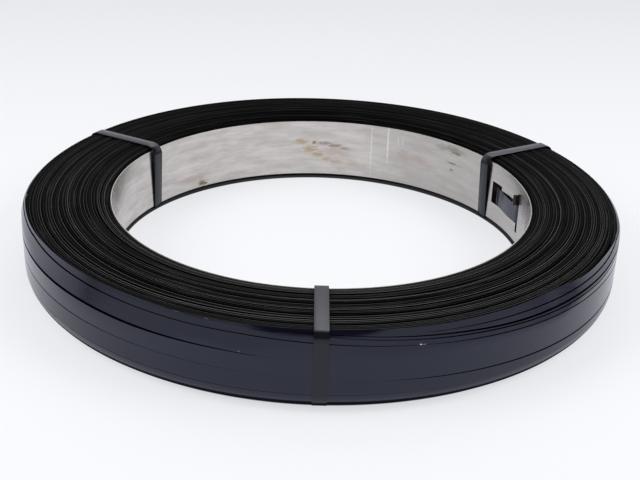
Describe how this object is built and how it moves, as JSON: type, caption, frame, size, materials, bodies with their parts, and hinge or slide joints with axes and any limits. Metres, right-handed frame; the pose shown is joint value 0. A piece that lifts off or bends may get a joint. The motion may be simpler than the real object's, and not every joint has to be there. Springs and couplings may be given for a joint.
{
  "type": "steel strapping coil",
  "caption": "Black steel strap wound to and fro on a thin steel core ring and held by narrow steel ties, lying flat",
  "frame": {"origin": "on the floor, on the coil's axis", "axes": "+Z is the coil's axis and points up as it lies; the front tie faces -Y, and the strap's anchored inner end is at the back right, towards +X and +Y"},
  "size_m": [0.573, 0.5738, 0.0712],
  "materials": {
    "black_strap": "glossy black, waxed",
    "core_steel": "bare, satin, lightly stained",
    "tie_steel": "satin dark grey"
  },
  "bodies": {
    "root": {"core_ring": "core_steel", "strap_winding": "black_strap", "tie_front": "tie_steel", "tie_back_right": "tie_steel", "tie_back_left": "tie_steel"}
  },
  "joints": []
}
